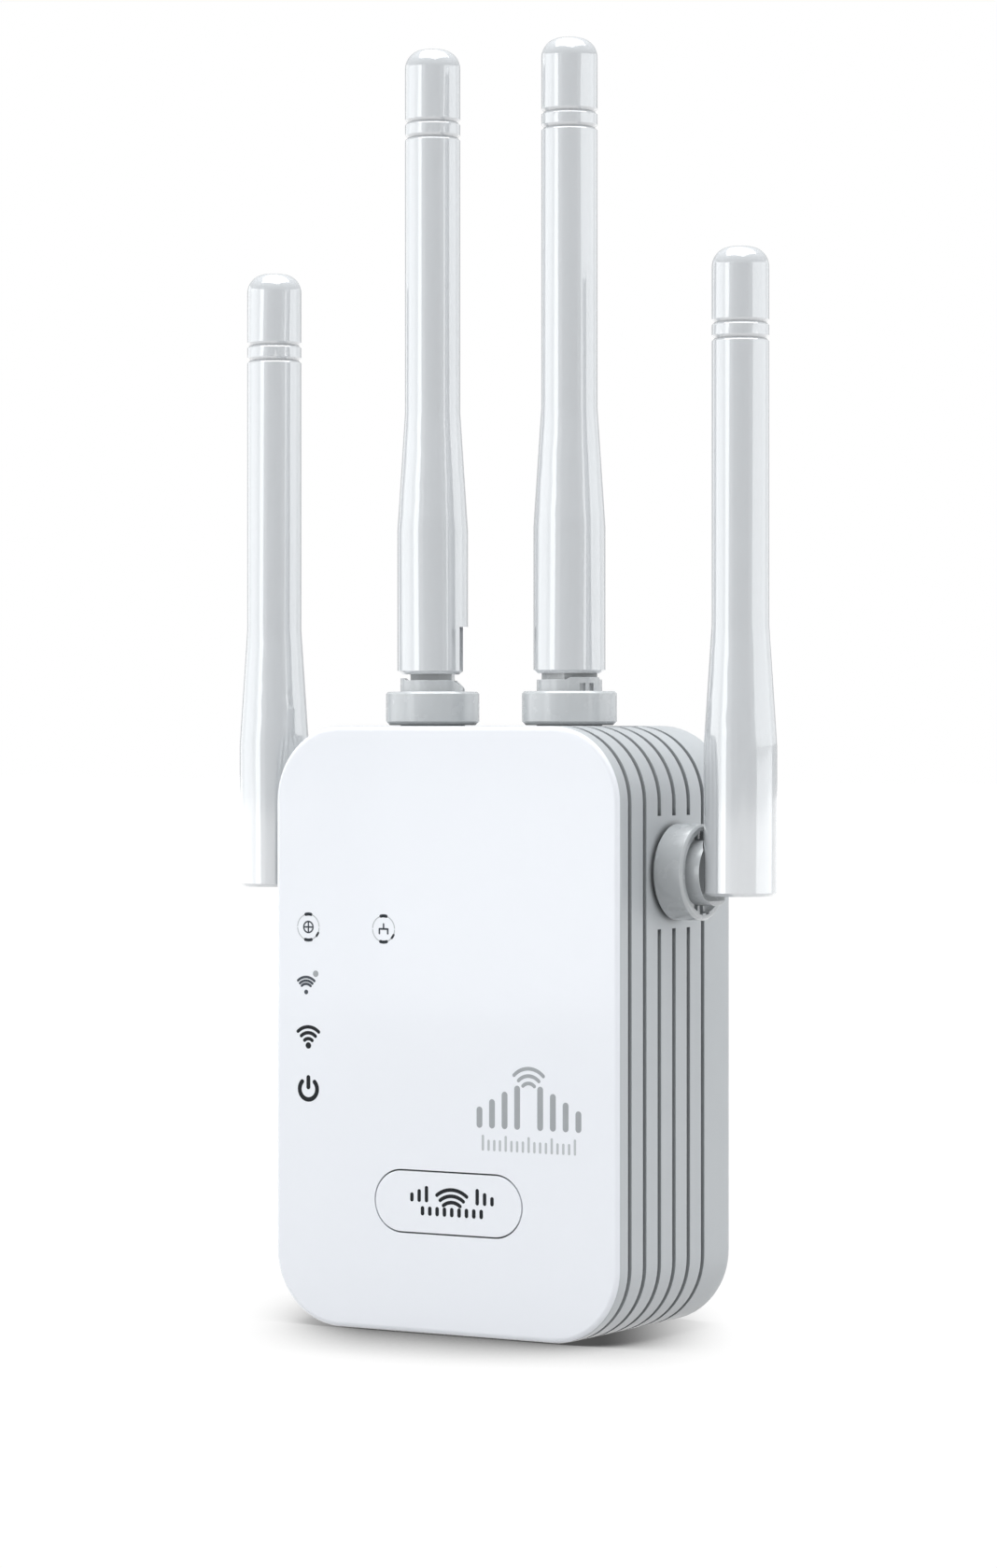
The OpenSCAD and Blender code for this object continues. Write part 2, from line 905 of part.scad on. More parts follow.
// Split ring in the spigot's groove, behind the case wall
module retaining_clip() {
  color([0.65, 0.65, 0.67])
    translate([0, 0, -clip_top - clip_t])
      difference() {
        cylinder(h = clip_t, r = clip_r);
        translate([0, 0, -1])
          cylinder(h = clip_t + 2, r = clip_groove_r + 0.05);
        translate([0, -clip_groove_r * 0.8, -1])
          cube([clip_r + 1, clip_groove_r * 1.6, clip_t + 2]);
      }
}

// Two short pins, one each side of the cable way, drawn about the fold axis
module hinge_pins() {
  color([0.7, 0.7, 0.72])
    for (side = [-1, 1])
      translate([0, side * (pin_in + pin_out) / 2, 0])
        rotate([90, 0, 0])
          cylinder(h = pin_out - pin_in, r = pin_r, center = true);
}

// Outline of the sleeve, as radius and height above the fold axis
module sleeve_outline() {
  tip = sleeve_len - sleeve_end;
  foot_chamfer = 0.5;
  tip_round = 3;
  difference() {
    union() {
      polygon([[0, -sleeve_end], [foot_r - foot_chamfer, -sleeve_end],
               [foot_r, foot_chamfer - sleeve_end], [foot_r, foot_len - sleeve_end],
               [mast_r, taper_end - sleeve_end], [mast_r, tip - tip_round],
               [mast_r - tip_round, tip - tip_round], [mast_r - tip_round, tip], [0, tip]]);
      translate([mast_r - tip_round, tip - tip_round])
        intersection() {
          circle(tip_round);
          square(tip_round);
        }
    }
    for (drop = [11.3, 13.7])
      translate([mast_r, tip - drop])
        rotate(45)
          square(0.6, center = true);
  }
}

module sleeve() {
  bore_r = 2.8;
  color([0.93, 0.94, 0.96])
    difference() {
      rotate_extrude()
        sleeve_outline();
      // Slot for the tongue, open to the end and to the fold side
      translate([-tongue_r - 0.3, -slot_half, -sleeve_end - 1])
        cube([20, 2 * slot_half, slot_top + sleeve_end + 1]);
      // Fold-side corner of the foot, rounded about the fold axis
      difference() {
        translate([0, -10, -sleeve_end - 1])
          cube([10, 20, sleeve_end + 1]);
        rotate([90, 0, 0])
          cylinder(h = 24, r = fold_trim_r, center = true);
      }
      rotate([90, 0, 0])
        cylinder(h = 2 * pin_out + 0.2, r = pin_r + 0.06, center = true);
      translate([0, 0, slot_top - 1])
        cylinder(h = 6, r = 1.6);
      translate([0, 0, slot_top + 3])
        cylinder(h = 74, r = bore_r);
    }
}

// Dipole inside the sleeve: a metal tube with a rod standing out of it
module radiator() {
  foot = slot_top + 3;
  color([0.8, 0.62, 0.3])
    translate([0, 0, foot])
      union() {
        difference() {
          cylinder(h = 24, r = 2.3);
          translate([0, 0, -1])
            cylinder(h = 23.5, r = 1.9);
        }
        cylinder(h = 56, r = 0.6);
        translate([0, 0, 54])
          cylinder(h = 2, r = 2.6);
      }
}

front_cover();
rear_housing();
wps_button();
switch_plunger();
push_switch();
light_guide();
status_lights();
main_board();
main_board_screws();
processor();
radio_chips();
memory_chip();
crystal();
shielding_can();
thermal_pad();
wan_jack();
wan_jack_contacts();
lan_jack();
lan_jack_contacts();
network_transformer();
top_coax_cables();
side_coax_cables();
board_link_header();
power_board();
power_board_screws();
transformer_core();
transformer_bobbin();
transformer_winding();
input_capacitors();
output_capacitors();
bridge_rectifier();
power_controller();
fuse_resistor();
safety_capacitor();
output_diode();
plug_pins();
plug_pin_sleeves();
plug_contacts();
rating_label();
at_antenna("top_left") knuckle();  // top_left_knuckle
at_antenna("top_left") retaining_clip();  // top_left_retaining_clip
at_fold("top_left") hinge_pins();  // top_left_hinge_pins
at_fold("top_left") sleeve();  // top_left_sleeve
at_fold("top_left") radiator();  // top_left_radiator
at_antenna("top_right") knuckle();  // top_right_knuckle
at_antenna("top_right") retaining_clip();  // top_right_retaining_clip
at_fold("top_right") hinge_pins();  // top_right_hinge_pins
at_fold("top_right") sleeve();  // top_right_sleeve
at_fold("top_right") radiator();  // top_right_radiator
at_antenna("side_left") knuckle();  // side_left_knuckle
at_antenna("side_left") retaining_clip();  // side_left_retaining_clip
at_fold("side_left") hinge_pins();  // side_left_hinge_pins
at_fold("side_left") sleeve();  // side_left_sleeve
at_fold("side_left") radiator();  // side_left_radiator
at_antenna("side_right") knuckle();  // side_right_knuckle
at_antenna("side_right") retaining_clip();  // side_right_retaining_clip
at_fold("side_right") hinge_pins();  // side_right_hinge_pins
at_fold("side_right") sleeve();  // side_right_sleeve
at_fold("side_right") radiator();  // side_right_radiator
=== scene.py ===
"""Looks of the wireless range extender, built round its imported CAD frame.

Lengths are in metres, in the CAD's frame: the front faces -Y and Z is up.
"""

import json
import math

import bmesh
import bpy
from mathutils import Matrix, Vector


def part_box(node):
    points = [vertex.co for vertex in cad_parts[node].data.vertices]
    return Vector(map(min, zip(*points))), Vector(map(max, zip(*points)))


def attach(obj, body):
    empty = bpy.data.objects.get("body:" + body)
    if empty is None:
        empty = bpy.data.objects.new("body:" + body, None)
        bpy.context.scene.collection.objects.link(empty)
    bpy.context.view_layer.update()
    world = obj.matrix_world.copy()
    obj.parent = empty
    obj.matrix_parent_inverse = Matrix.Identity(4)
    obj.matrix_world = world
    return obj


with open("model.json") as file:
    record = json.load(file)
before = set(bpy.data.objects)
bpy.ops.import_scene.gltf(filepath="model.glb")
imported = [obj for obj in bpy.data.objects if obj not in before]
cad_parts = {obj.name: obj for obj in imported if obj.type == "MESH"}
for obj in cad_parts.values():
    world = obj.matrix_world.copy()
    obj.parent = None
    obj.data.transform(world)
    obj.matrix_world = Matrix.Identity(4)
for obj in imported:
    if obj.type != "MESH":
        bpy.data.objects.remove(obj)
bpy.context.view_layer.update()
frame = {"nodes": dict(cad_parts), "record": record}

NODES = frame["nodes"]
RECORD = frame["record"]
MM = 0.001

# Sizes taken from the frame
case_lo, case_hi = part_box("front_cover")
CASE_H = case_hi.z
FRONT_Y = case_lo.y
button_lo, button_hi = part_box("wps_button")
BUTTON_X = (button_lo.x + button_hi.x) / 2
BUTTON_Z = (button_lo.z + button_hi.z) / 2


# ---------- Materials ----------


class Nodes:
    """A small helper that adds shader nodes and links them."""

    def __init__(self, material):
        self.tree = material.node_tree
        self.tree.nodes.clear()

    def add(self, kind, inputs=None, **settings):
        node = self.tree.nodes.new(kind)
        for key, value in settings.items():
            setattr(node, key, value)
        for key, value in (inputs or {}).items():
            if isinstance(value, bpy.types.NodeSocket):
                self.tree.links.new(value, node.inputs[key])
            else:
                node.inputs[key].default_value = value
        return node

    def noise(self, size, detail=2.0, rough=0.5, stretch=(1, 1, 1), offset=0.0):
        """Noise with blobs of about this size in metres."""
        place = self.add("ShaderNodeTexCoord").outputs["Object"]
        mapped = self.add(
            "ShaderNodeMapping",
            {"Vector": place, "Location": (offset, offset, offset), "Scale": stretch},
        )
        return self.add(
            "ShaderNodeTexNoise",
            {
                "Vector": mapped.outputs["Vector"],
                "Scale": 1 / size,
                "Detail": detail,
                "Roughness": rough,
            },
        ).outputs["Fac"]

    def spread(self, value, low, high):
        """Maps noise, which seldom leaves 0.25 to 0.75, onto low to high."""
        return self.add(
            "ShaderNodeMapRange",
            {"Value": value, "From Min": 0.25, "From Max": 0.75, "To Min": low, "To Max": high},
        ).outputs["Result"]

    def mix(self, share, first, second):
        """Mixes two colours by a 0 to 1 share."""
        node = self.add("ShaderNodeMix", data_type="RGBA")
        for key, value in ((0, share), (6, first), (7, second)):
            if isinstance(value, bpy.types.NodeSocket):
                self.tree.links.new(value, node.inputs[key])
            else:
                node.inputs[key].default_value = value
        return node.outputs[2]

    def edges(self, radius):
        """Near 1 along sharp edges and 0 on flat faces, by how far a rounded normal bends."""
        bent = self.add("ShaderNodeBevel", {"Radius": radius}, samples=4).outputs["Normal"]
        true = self.add("ShaderNodeNewGeometry").outputs["Normal"]
        same = self.add("ShaderNodeVectorMath", {0: bent, 1: true}, operation="DOT_PRODUCT")
        return self.add(
            "ShaderNodeMapRange",
            {"Value": same.outputs["Value"], "From Min": 0.999, "From Max": 0.85, "To Max": 0.999},
        ).outputs["Result"]


# Painted shade in crevices: how far a crevice's walls may stand apart, how much of the sky is open
# at its deepest and at its mouth, and how much of the colour is left at its deepest
CREVICE_REACH = 1.3 * MM
CREVICE_OPEN = (0.35, 0.85)
CREVICE_SHADE = 0.12
# Half the width of the border between a cover's gloss and the satin behind it (painted side shade)
FACE_BORDER = 0.03 * MM


def rgba(rgb, scale=1.0):
    return tuple(min(1.0, c * scale) for c in rgb[:3]) + (1.0,)


def shade(
    n,
    color,
    rough,
    metallic=0.0,
    tint=0.03,
    blotch=12 * MM,
    grain=0.3 * MM,
    grain_height=0.004 * MM,
    ripple_height=0.0,
    rough_spread=0.04,
    edge_radius=0.25 * MM,
    edge_scale=1.06,
    edge_rough=0.08,
    stretch=(1, 1, 1),
    coat=0.0,
    coat_ior=1.5,
    specular=0.5,
    transmission=0.0,
    ior=1.5,
    crevice=0.0,
):
    """A moulded, coated or metal surface: colour drift, uneven gloss, grain, worn edges, painted
    crevice shade.
    """
    drift = n.spread(n.noise(blotch, detail=3.0), 0.0, 1.0)
    base = n.mix(drift, rgba(color, 1 - tint), rgba(color, 1 + tint))
    edge = n.edges(edge_radius)
    base = n.mix(edge, base, rgba(color, edge_scale))
    # Painted shade: darkens the colour where ambient occlusion finds a narrow crevice
    if crevice:
        open_share = n.add(
            "ShaderNodeAmbientOcclusion", {"Distance": CREVICE_REACH}, samples=6
        ).outputs["AO"]
        painted_crevice_shade = n.add(
            "ShaderNodeMapRange",
            {
                "Value": open_share,
                "From Min": CREVICE_OPEN[0],
                "From Max": CREVICE_OPEN[1],
                "To Min": crevice,
                "To Max": 0,
            },
        ).outputs["Result"]
        base = n.mix(painted_crevice_shade, base, rgba(color, CREVICE_SHADE))
    uneven = n.spread(n.noise(blotch / 3, detail=4.0, offset=3.1), -rough_spread, rough_spread)
    gloss = n.add("ShaderNodeMath", {0: uneven, 1: rough}, operation="ADD").outputs[0]
    worn = n.add("ShaderNodeMath", {0: edge, 1: edge_rough, 2: gloss}, operation="MULTIPLY_ADD")
    fine = n.noise(grain, detail=2.0, stretch=stretch)
    normal = n.add("ShaderNodeBump", {"Height": fine, "Distance": grain_height, "Strength": 1.0})
    if ripple_height:
        wave = n.noise(9 * MM, detail=1.0, offset=7.7)
        normal = n.add(
            "ShaderNodeBump",
            {
                "Height": wave,
                "Distance": ripple_height,
                "Strength": 1.0,
                "Normal": normal.outputs["Normal"],
            },
        )
    return n.add(
        "ShaderNodeBsdfPrincipled",
        {
            "Base Color": base,
            "Metallic": metallic,
            "Roughness": worn.outputs[0],
            "IOR": ior,
            "Normal": normal.outputs["Normal"],
            "Coat Weight": coat,
            "Coat Roughness": 0.05,
            "Coat IOR": coat_ior,
            "Specular IOR Level": specular,
            "Transmission Weight": transmission,
        },
    ).outputs["BSDF"]


def surface(name, color, rough, **look):
    """A material made of one such surface."""
    material = bpy.data.materials.new(name)
    material.use_nodes = True
    n = Nodes(material)
    n.add("ShaderNodeOutputMaterial", {"Surface": shade(n, color, rough, **look)})
    return material


def faced_surface_painted_side_shade(name, face, side, depth):
    """One look on the front down to this depth, and another behind it, darker as painted side
    shade.
    """
    material = bpy.data.materials.new(name)
    material.use_nodes = True
    n = Nodes(material)
    place = n.add("ShaderNodeTexCoord").outputs["Object"]
    y = n.add("ShaderNodeSeparateXYZ", {"Vector": place}).outputs["Y"]
    # The cover's sides behind this depth take the darker satin colour: painted shade
    behind = n.add(
        "ShaderNodeMapRange",
        {"Value": y, "From Min": depth - FACE_BORDER, "From Max": depth + FACE_BORDER},
    ).outputs["Result"]
    both = n.add("ShaderNodeMixShader", {0: behind, 1: shade(n, **face), 2: shade(n, **side)})
    n.add("ShaderNodeOutputMaterial", {"Surface": both.outputs[0]})
    return material


GLOSSY_FACE = dict(
    color=(0.905, 0.916, 0.953), rough=0.16, tint=0.006, blotch=30 * MM, grain=0.8 * MM,
    grain_height=0.0008 * MM, ripple_height=0.004 * MM, rough_spread=0.02,
    edge_radius=0.4 * MM, edge_scale=1.04, coat=0.4, coat_ior=1.5, specular=0.3,
)
# Satin finish; its grey colour, darker than the front's same white plastic, is painted side shade
SATIN_SIDE_PAINTED_SHADE = dict(
    color=(0.515, 0.533, 0.548), rough=0.38, tint=0.015, blotch=22 * MM, grain=0.22 * MM,
    grain_height=0.006 * MM, rough_spread=0.05, edge_radius=0.2 * MM, edge_scale=1.08,
    crevice=0.75,
)
KNUCKLE = dict(
    rough=0.26, tint=0.012, blotch=6 * MM, grain=0.3 * MM, grain_height=0.003 * MM,
    rough_spread=0.04, edge_radius=0.2 * MM, edge_scale=1.25, coat=0.5, coat_ior=1.8,
)
COVER_FACE_DEPTH = 0.5 * MM


def make_materials():
    """One material for each of the record's slots, the two knuckles' and the print's; the side
    knuckles' is a darker copy, painted shade.
    """
    return {
        "glossy_white": faced_surface_painted_side_shade(
            "gloss_white_shell_painted_side_shade", GLOSSY_FACE, SATIN_SIDE_PAINTED_SHADE, FRONT_Y + COVER_FACE_DEPTH
        ),
        "satin_grey_white": surface("satin_grey_shell_painted_shade", **SATIN_SIDE_PAINTED_SHADE),
        "antenna_white": surface(
            "antenna_rod_white", (0.635, 0.648, 0.665), 0.14, tint=0.01, blotch=18 * MM,
            grain=0.5 * MM, grain_height=0.001 * MM, ripple_height=0.003 * MM,
            rough_spread=0.03, edge_radius=0.2 * MM, edge_scale=1.05, coat=1.0, coat_ior=2.3,
            specular=1.0, crevice=0.7,
        ),
        "top_knuckle": surface("collar_white", (0.58, 0.595, 0.605), **KNUCKLE),
        # The side knuckles' collar is the same plastic, darkened as painted shade
        "side_knuckle": surface("collar_painted_shade", (0.47, 0.485, 0.495), **KNUCKLE),
        "black_plastic": surface(
            "black_nylon", (0.028, 0.028, 0.031), 0.45, tint=0.15, grain_height=0.01 * MM,
            edge_scale=2.2,
        ),
        "clear_plastic": surface(
            "clear_acrylic", (0.92, 0.95, 0.98), 0.08, tint=0.01, transmission=0.9, ior=1.49,
            grain_height=0.001 * MM,
        ),
        "light_chip": surface(
            "light_chip_phosphor", (0.86, 0.78, 0.35), 0.3, tint=0.05, blotch=1 * MM,
        ),
        "green_board": surface(
            "green_solder_mask", (0.012, 0.12, 0.045), 0.28, tint=0.3, blotch=2.5 * MM,
            grain=0.12 * MM, grain_height=0.01 * MM, coat=0.3, edge_scale=1.8,
        ),
        "tan_board": surface(
            "phenolic_board", (0.42, 0.27, 0.10), 0.5, tint=0.12, blotch=4 * MM,
            grain=0.4 * MM, grain_height=0.01 * MM, stretch=(1, 1, 0.2),
        ),
        "zinc_steel": surface(
            "zinc_steel", (0.62, 0.63, 0.66), 0.3, metallic=1.0, tint=0.06, blotch=1.5 * MM,
            grain=0.1 * MM, grain_height=0.004 * MM,
        ),
        "black_chip": surface(
            "moulded_epoxy", (0.022, 0.022, 0.024), 0.55, tint=0.2, blotch=1.2 * MM,
            grain=0.08 * MM, grain_height=0.008 * MM, edge_scale=2.0,
        ),
        "tinned_can": surface(
            "tinned_steel", (0.70, 0.71, 0.72), 0.32, metallic=1.0, tint=0.05, blotch=3 * MM,
            grain=0.15 * MM, grain_height=0.005 * MM, stretch=(0.15, 1, 1),
        ),
        "soft_pad": surface(
            "silicone_pad", (0.30, 0.36, 0.48), 0.75, tint=0.08, blotch=2 * MM,
            grain=0.25 * MM, grain_height=0.02 * MM,
        ),
        "gold_contact": surface(
            "gold_flash", (0.85, 0.58, 0.18), 0.22, metallic=1.0, tint=0.06, blotch=1 * MM,
            grain=0.1 * MM, grain_height=0.003 * MM,
        ),
        "cable_jacket": surface(
            "cable_jacket", (0.02, 0.02, 0.022), 0.4, tint=0.2, blotch=2 * MM,
            grain_height=0.006 * MM,
        ),
        "ferrite": surface(
            "ferrite_core", (0.05, 0.05, 0.055), 0.6, tint=0.2, blotch=1.5 * MM,
            grain=0.15 * MM, grain_height=0.02 * MM, edge_scale=2.0,
        ),
        "copper_wire": surface(
            "copper_winding", (0.80, 0.30, 0.09), 0.3, metallic=0.7, tint=0.12, blotch=1 * MM,
            grain=0.3 * MM, grain_height=0.03 * MM, stretch=(0.05, 1, 0.05),
        ),
        "capacitor_sleeve": surface(
            "capacitor_sleeve", (0.012, 0.02, 0.06), 0.25, tint=0.15, blotch=3 * MM,
            grain_height=0.004 * MM, coat=0.3,
        ),
        "resistor_body": surface(
            "resistor_coat", (0.10, 0.28, 0.14), 0.4, tint=0.12, blotch=1.5 * MM,
            grain=0.2 * MM, grain_height=0.01 * MM,
        ),
        "blue_ceramic": surface(
            "dipped_ceramic", (0.02, 0.09, 0.42), 0.3, tint=0.12, blotch=2 * MM,
            ripple_height=0.05 * MM,
        ),
        "nickel_plated_brass": surface(
            "nickel_plate", (0.74, 0.72, 0.67), 0.18, metallic=1.0, tint=0.03, blotch=4 * MM,
            grain=0.06 * MM, grain_height=0.001 * MM, stretch=(1, 0.05, 1), edge_scale=1.1,
        ),
        "spring_brass": surface(
            "spring_brass", (0.80, 0.56, 0.22), 0.3, metallic=1.0, tint=0.08, blotch=2 * MM,
            grain=0.12 * MM, grain_height=0.003 * MM,
        ),
        "label_film": surface(
            "blank_label_film", (0.72, 0.725, 0.73), 0.5, tint=0.02, blotch=9 * MM,
            grain=0.3 * MM, grain_height=0.003 * MM,
        ),
        "print_dark": surface(
            "print_dark", (0.012, 0.014, 0.017), 0.4, tint=0.1, blotch=1 * MM, specular=0.15,
            edge_radius=0.05 * MM, edge_scale=1.2,
        ),
        "print_slate": surface(
            "print_slate", (0.075, 0.085, 0.10), 0.4, tint=0.08, blotch=1 * MM, specular=0.15,
            edge_radius=0.05 * MM, edge_scale=1.1,
        ),
        "print_grey": surface(
            "print_grey", (0.36, 0.375, 0.39), 0.35, tint=0.04, blotch=2 * MM,
            edge_radius=0.05 * MM, edge_scale=1.05,
        ),
        "print_pale": surface(
            "print_pale", (0.52, 0.535, 0.55), 0.35, tint=0.04, blotch=2 * MM,
            edge_radius=0.05 * MM, edge_scale=1.05,
        ),
    }


# ---------- CAD nodes ----------

BEVEL = {
    "front_cover": 0.12 * MM,
    "rear_housing": 0.15 * MM,
    "wps_button": 0.2 * MM,
}
ANTENNA_BEVEL = 0.12 * MM
SMALL_BEVEL = 0.06 * MM
# Edges that turn by more than this get a bevel
SHARP_TURN = math.radians(35)


def bevel_width(name):
    small = ANTENNA_BEVEL if name.endswith(("_knuckle", "_sleeve")) else SMALL_BEVEL
    return BEVEL.get(name, small)


def dress_nodes(materials):
    """Gives every CAD node its slot's material and small real bevels on its sharp edges."""
    slots = {part["node"]: part["material_slot"] for part in RECORD["subparts"]}
    for name, node in NODES.items():
        node.data.materials.clear()
        look = slots[name]
        # Side knuckles take the darker collar copy, which is painted shade
        if name.endswith("_knuckle"):
            look = name.split("_")[0] + "_knuckle"
        node.data.materials.append(materials[look])
        if "custom_normal" in node.data.attributes:
            node.data.attributes.remove(node.data.attributes["custom_normal"])
        node.data.shade_smooth()
        weld = node.modifiers.new("weld", "WELD")
        weld.merge_threshold = 0.001 * MM
        bevel = node.modifiers.new("edge", "BEVEL")
        bevel.width = bevel_width(name)
        bevel.segments = 2
        bevel.limit_method = "ANGLE"
        bevel.angle_limit = SHARP_TURN
        bevel.use_clamp_overlap = True
        normals = node.modifiers.new("normals", "WEIGHTED_NORMAL")
        normals.mode = "FACE_AREA"
        normals.weight = 100


# ---------- Print on the front, laid out in millimetres ----------

# Thickness of the ink, in metres
PRINT_T = 0.02 * MM
# Straight pieces in an arc, and in a stroke's round end
ARC_STEPS = 24
CAP_STEPS = 8

# Places of the marks
ICON_X = -24.4
BADGE_Z = 61.1
FAST_Z = 52.6
SIGNAL_Z = 44.4
POWER_Z = 36.2
LOCAL_BADGE_X = -10.7
EMBLEM_X = 15.0
EMBLEM_FOOT = 32.1
SCALE_FOOT = 28.4


def arc_points(cx, cz, r, start, end, steps):
    """Points on an arc in the front face's plane; angles in degrees from +X towards +Z."""
    points = []
    for i in range(steps + 1):
        angle = math.radians(start + (end - start) * i / steps)
        points.append((cx + r * math.cos(angle), cz + r * math.sin(angle)))
    return points


def stroke_arc(cx, cz, r, width, start, end):
    """Outline of an arc stroke with round ends."""
    half = width / 2
    outer = arc_points(cx, cz, r + half, start, end, ARC_STEPS)
    inner = arc_points(cx, cz, r - half, end, start, ARC_STEPS)
    (x0, z0), (x1, z1) = arc_points(cx, cz, r, start, end, 1)
    cap_end = arc_points(x1, z1, half, end, end + 180, CAP_STEPS)
    cap_start = arc_points(x0, z0, half, start + 180, start + 360, CAP_STEPS)
    return outer + cap_end[1:-1] + inner + cap_start[1:-1]


def stroke_bar(x0, z0, x1, z1, width):
    """Outline of a straight stroke with round ends."""
    angle = math.degrees(math.atan2(z1 - z0, x1 - x0))
    far_end = arc_points(x1, z1, width / 2, angle - 90, angle + 90, CAP_STEPS)
    near_end = arc_points(x0, z0, width / 2, angle + 90, angle + 270, CAP_STEPS)
    return far_end + near_end


def disc(cx, cz, r):
    return arc_points(cx, cz, r, 0, 360, ARC_STEPS)[:-1]


def signal_arcs(cx, cz, radii, width, spread, dot=0.0):
    """Arcs that fan upwards from a point, with an optional dot at that point."""
    marks = [stroke_arc(cx, cz, r, width, 90 - spread, 90 + spread) for r in radii]
    if dot:
        marks.append(disc(cx, cz, dot))
    return marks


def ring(cx, cz, r, width):
    """Two half-ring strokes that meet, so that each outline is a plain polygon."""
    return [
        stroke_arc(cx, cz, r, width, 4, 176),
        stroke_arc(cx, cz, r, width, 184, 356),
    ]


def level_bars(cx, foot, first, step, heights, width):
    """Upright bars in mirrored pairs, the first pair at this distance from the middle."""
    bars = []
    for i, height in enumerate(heights):
        for side in (-1, 1):
            x = cx + side * (first + i * step)
            bars.append(stroke_bar(x, foot, x, foot + height, width))
    return bars


def badge_tabs(cx, cz):
    """The heavier parts of a badge's outline, at its top, bottom and lower right."""
    return [
        stroke_arc(cx, cz, 2.0, 0.5, 76, 104),
        stroke_arc(cx, cz, 2.0, 0.5, 254, 286),
        stroke_arc(cx, cz, 2.0, 0.36, 318, 334),
    ]


def globe(cx, cz):
    """A ring with a cross in it."""
    reach, width = 0.8, 0.24
    return ring(cx, cz, 0.85, width) + [
        stroke_bar(cx - reach, cz, cx + reach, cz, width),
        stroke_bar(cx, cz - reach, cx, cz + reach, width),
    ]


def fork(cx, cz):
    """A line that comes down and splits in two."""
    half, drop, width = 0.75, 0.7, 0.28
    return [
        stroke_bar(cx, cz + half, cx, cz, width),
        stroke_bar(cx - half, cz, cx + half, cz, width),
        stroke_bar(cx - half, cz, cx - half, cz - drop, width),
        stroke_bar(cx + half, cz, cx + half, cz - drop, width),
    ]


def print_piece(name, outlines, material, body):
    """One thin printed layer made of separate closed marks, standing on the front face."""
    mesh = bpy.data.meshes.new(name)
    bm = bmesh.new()
    for outline in outlines:
        points = [(x * MM, z * MM) for x, z in outline]
        back = [bm.verts.new((x, FRONT_Y, z)) for x, z in points]
        front = [bm.verts.new((x, FRONT_Y - PRINT_T, z)) for x, z in points]
        bm.faces.new(front)
        bm.faces.new(back[::-1])
        for i in range(len(points)):
            j = (i + 1) % len(points)
            bm.faces.new((back[i], back[j], front[j], front[i]))
    bmesh.ops.recalc_face_normals(bm, faces=bm.faces)
    bm.to_mesh(mesh)
    bm.free()
    mesh.materials.append(material)
    piece = bpy.data.objects.new(name, mesh)
    bpy.context.scene.collection.objects.link(piece)
    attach(piece, body)


def print_badges(materials):
    """A globe for the uplink and a fork for the local network, each in a thin ring."""
    rings, marks = [], []
    for x in (ICON_X, LOCAL_BADGE_X):
        rings += ring(x, BADGE_Z, 1.98, 0.16)
        marks += badge_tabs(x, BADGE_Z)
    marks += globe(ICON_X, BADGE_Z) + fork(LOCAL_BADGE_X, BADGE_Z)
    print_piece("port_badge_rings", rings, materials["print_pale"], "housing")
    print_piece("port_badge_marks", marks, materials["print_slate"], "housing")


def print_icons(materials):
    """Fast band, signal and power, one above the other."""
    fast = signal_arcs(ICON_X - 0.4, FAST_Z - 1.5, (1.25, 1.75, 2.3), 0.4, 41, dot=0.36)
    print_piece("fast_band_mark", fast, materials["print_slate"], "housing")
    spark = [disc(ICON_X + 1.35, FAST_Z + 1.35, 0.5)]
    print_piece("fast_band_spark", spark, materials["print_grey"], "housing")
    signal = signal_arcs(ICON_X, SIGNAL_Z - 1.5, (1.05, 1.95, 2.85), 0.54, 42, dot=0.5)
    print_piece("signal_mark", signal, materials["print_dark"], "housing")
    power = [
        stroke_arc(ICON_X, POWER_Z, 1.6, 0.7, 135, 405),
        stroke_bar(ICON_X, POWER_Z + 0.3, ICON_X, POWER_Z + 1.8, 0.7),
    ]
    print_piece("power_mark", power, materials["print_dark"], "housing")


def print_emblem(materials):
    """Signal arcs over a row of level bars, with a fine scale below."""
    emblem = signal_arcs(EMBLEM_X, EMBLEM_FOOT + 5.1, (1.4, 2.5, 3.6), 0.55, 45)
    emblem += level_bars(EMBLEM_X, EMBLEM_FOOT, 8.6, -2.2, (2.2, 3.4, 4.6, 5.6), 1.0)
    print_piece("front_emblem", emblem, materials["print_grey"], "housing")
    scale = []
    for i in range(-8, 9):
        height = 2.0 if i % 4 == 0 else 1.3
        scale.append(stroke_bar(EMBLEM_X + i, SCALE_FOOT, EMBLEM_X + i, SCALE_FOOT + height, 0.4))
    print_piece("emblem_scale", scale, materials["print_pale"], "housing")


def print_button(materials):
    """Signal arcs between two small groups of level bars, over a row of beads."""
    cx, cz = BUTTON_X / MM + 0.7, BUTTON_Z / MM
    mark = signal_arcs(cx, cz - 2.2, (2.4, 3.35, 4.3), 0.56, 38)
    pitch = 1.3
    mark += level_bars(cx, cz + 0.3, 4.5, pitch, (1.9, 1.35, 0.8), 0.6)
    for i in range(-4, 5):
        mark.append(stroke_bar(cx + i * pitch, cz - 1.7, cx + i * pitch, cz - 0.9, 0.62))
    print_piece("button_mark", mark, materials["print_dark"], "button")


# ---------- Stage ----------

# Turn to the object's right, distance from its axis, and the lens in millimetres on a 36 mm sensor
CAMERA_TURN = math.radians(31.06)
CAMERA_FAR = 723.6 * MM
CAMERA_LENS = 107.7
# How far the picture's middle lies off the lens's axis, as a share of the picture's height
CAMERA_SHIFT = (-0.004017, -0.037076)


